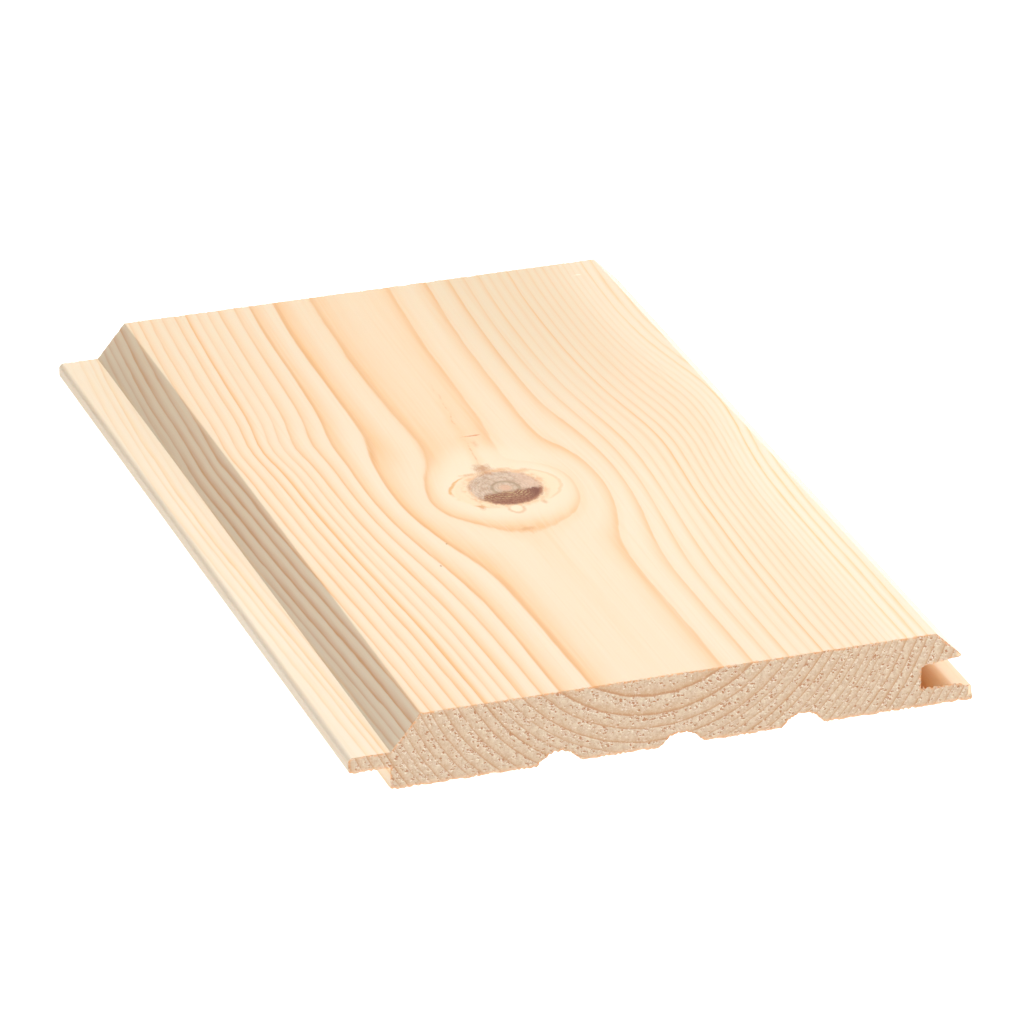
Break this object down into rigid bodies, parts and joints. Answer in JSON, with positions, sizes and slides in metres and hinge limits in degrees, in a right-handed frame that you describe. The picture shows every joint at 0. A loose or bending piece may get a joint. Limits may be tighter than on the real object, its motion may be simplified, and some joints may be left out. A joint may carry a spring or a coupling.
{
  "type": "cladding board",
  "caption": "Short length of planed softwood cladding board with a tongue, a groove, a V-joint slope along each long edge of its flat face, and relief grooves in its back.",
  "frame": {"origin": "middle of the board's back, halfway along its length", "axes": "+X across the board from the tongue to the groove, +Y along the grain, +Z out of the face; the board lies on its back"},
  "size_m": [0.145, 0.223, 0.0175],
  "materials": {
    "softwood": "planed bare softwood, matt"
  },
  "bodies": {
    "root": {"cladding_board": "softwood"}
  },
  "joints": []
}
